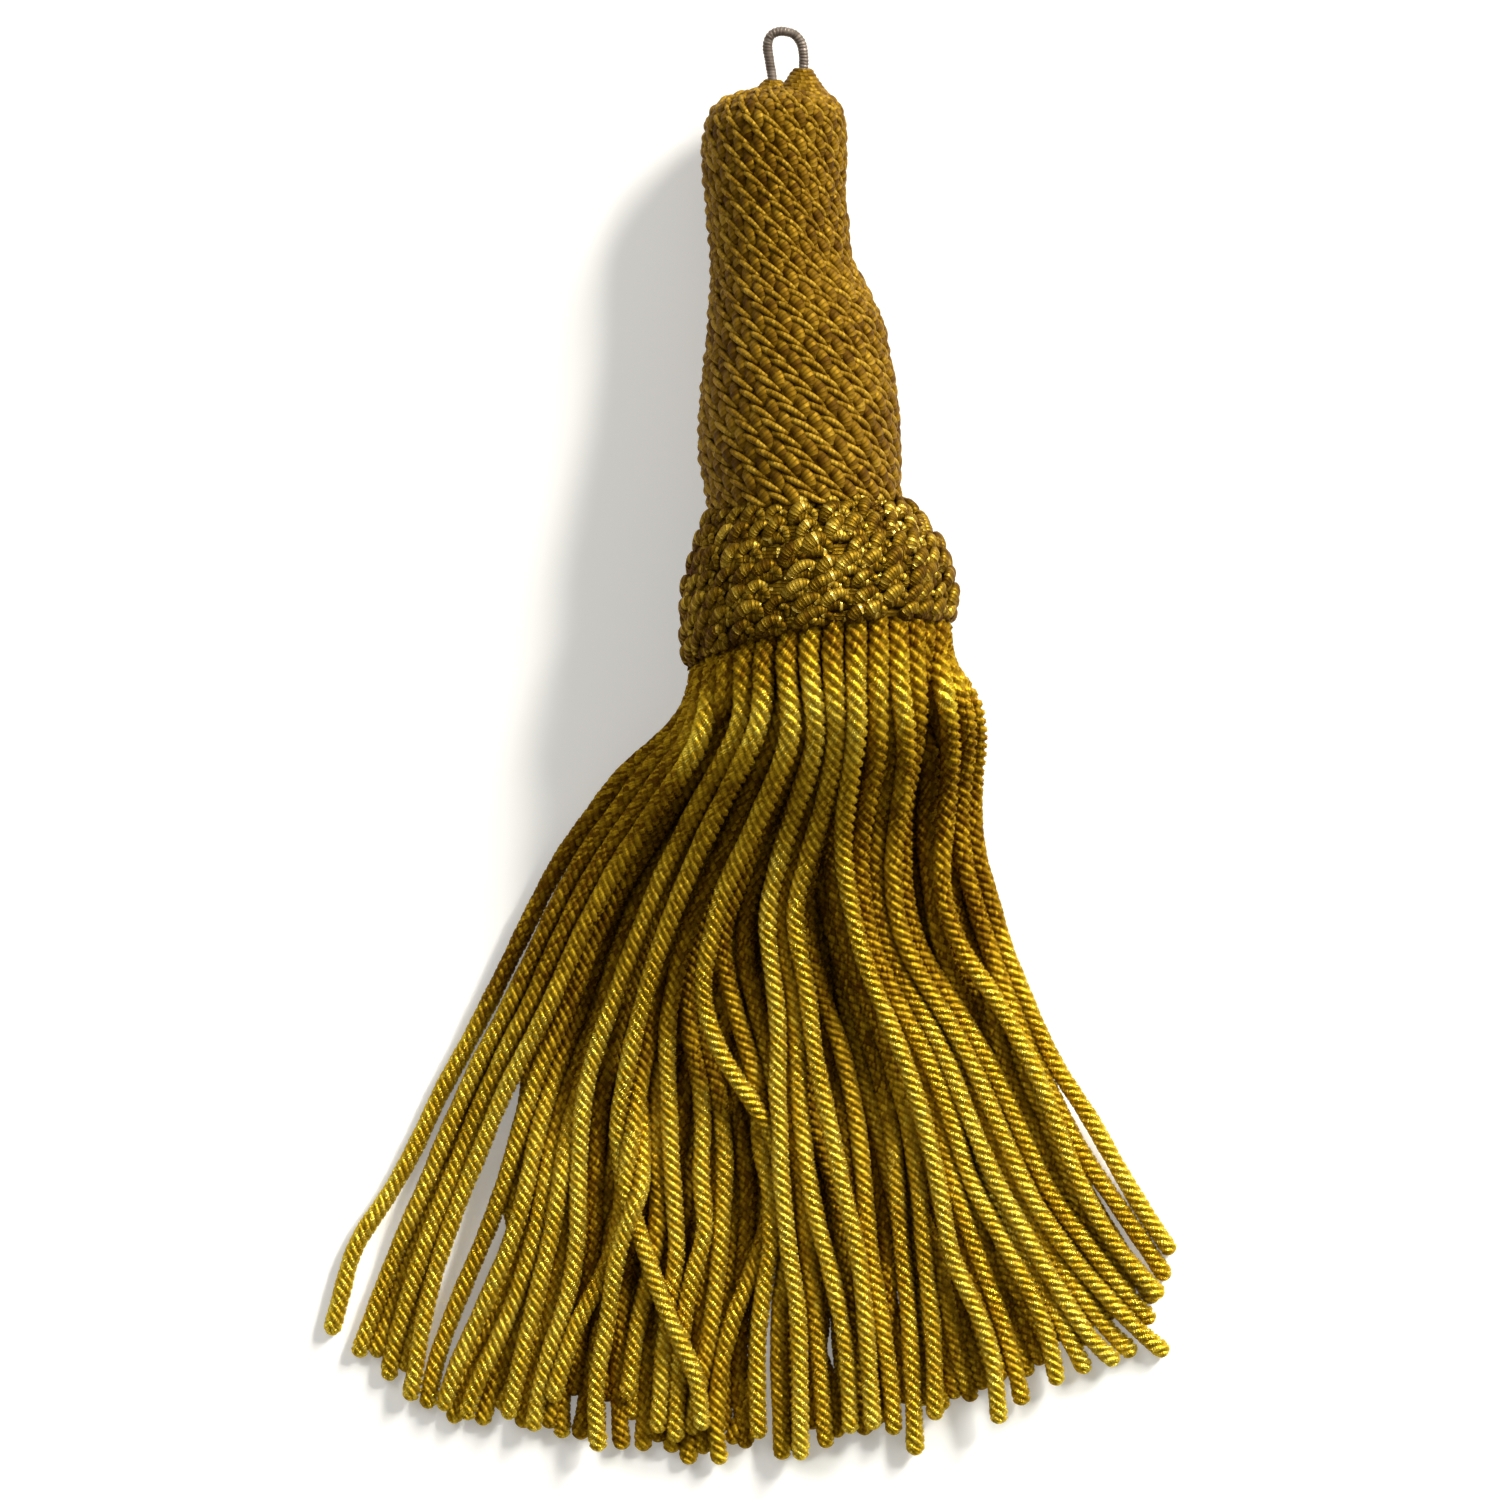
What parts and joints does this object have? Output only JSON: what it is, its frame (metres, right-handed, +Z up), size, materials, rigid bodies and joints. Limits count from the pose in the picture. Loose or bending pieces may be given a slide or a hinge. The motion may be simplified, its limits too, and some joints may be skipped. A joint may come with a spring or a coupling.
{
  "type": "silk tassel",
  "caption": "Gold tassel lying flat: a small wire hanging loop, a long waisted neck, a rounded collar and a fringe of twisted cords that fans out.",
  "frame": {"origin": "centre of the tassel's length and width, on the surface it lies on", "axes": "+Y runs up the neck towards the hanging loop and the fringe spreads towards -Y, +X is to the right seen from above, +Z is up from the surface"},
  "size_m": [0.0716, 0.1204, 0.0195],
  "materials": {
    "loop_wire": "grey-beige thread wound closely round a thin wire, satin",
    "neck_yarn": "dull ochre yarn worked in diagonal hitched stitches, with a thin light thread along each row",
    "collar_thread": "gold wrapped thread worked in coarse hooked stitches, with bright metallic glints",
    "fringe_cord": "four-ply twisted cords of fine wrapped gold thread, metallic sheen on every ply"
  },
  "bodies": {
    "root": {"hanging_loop": "loop_wire", "neck": "neck_yarn", "collar": "collar_thread", "fringe": "fringe_cord"}
  },
  "joints": []
}
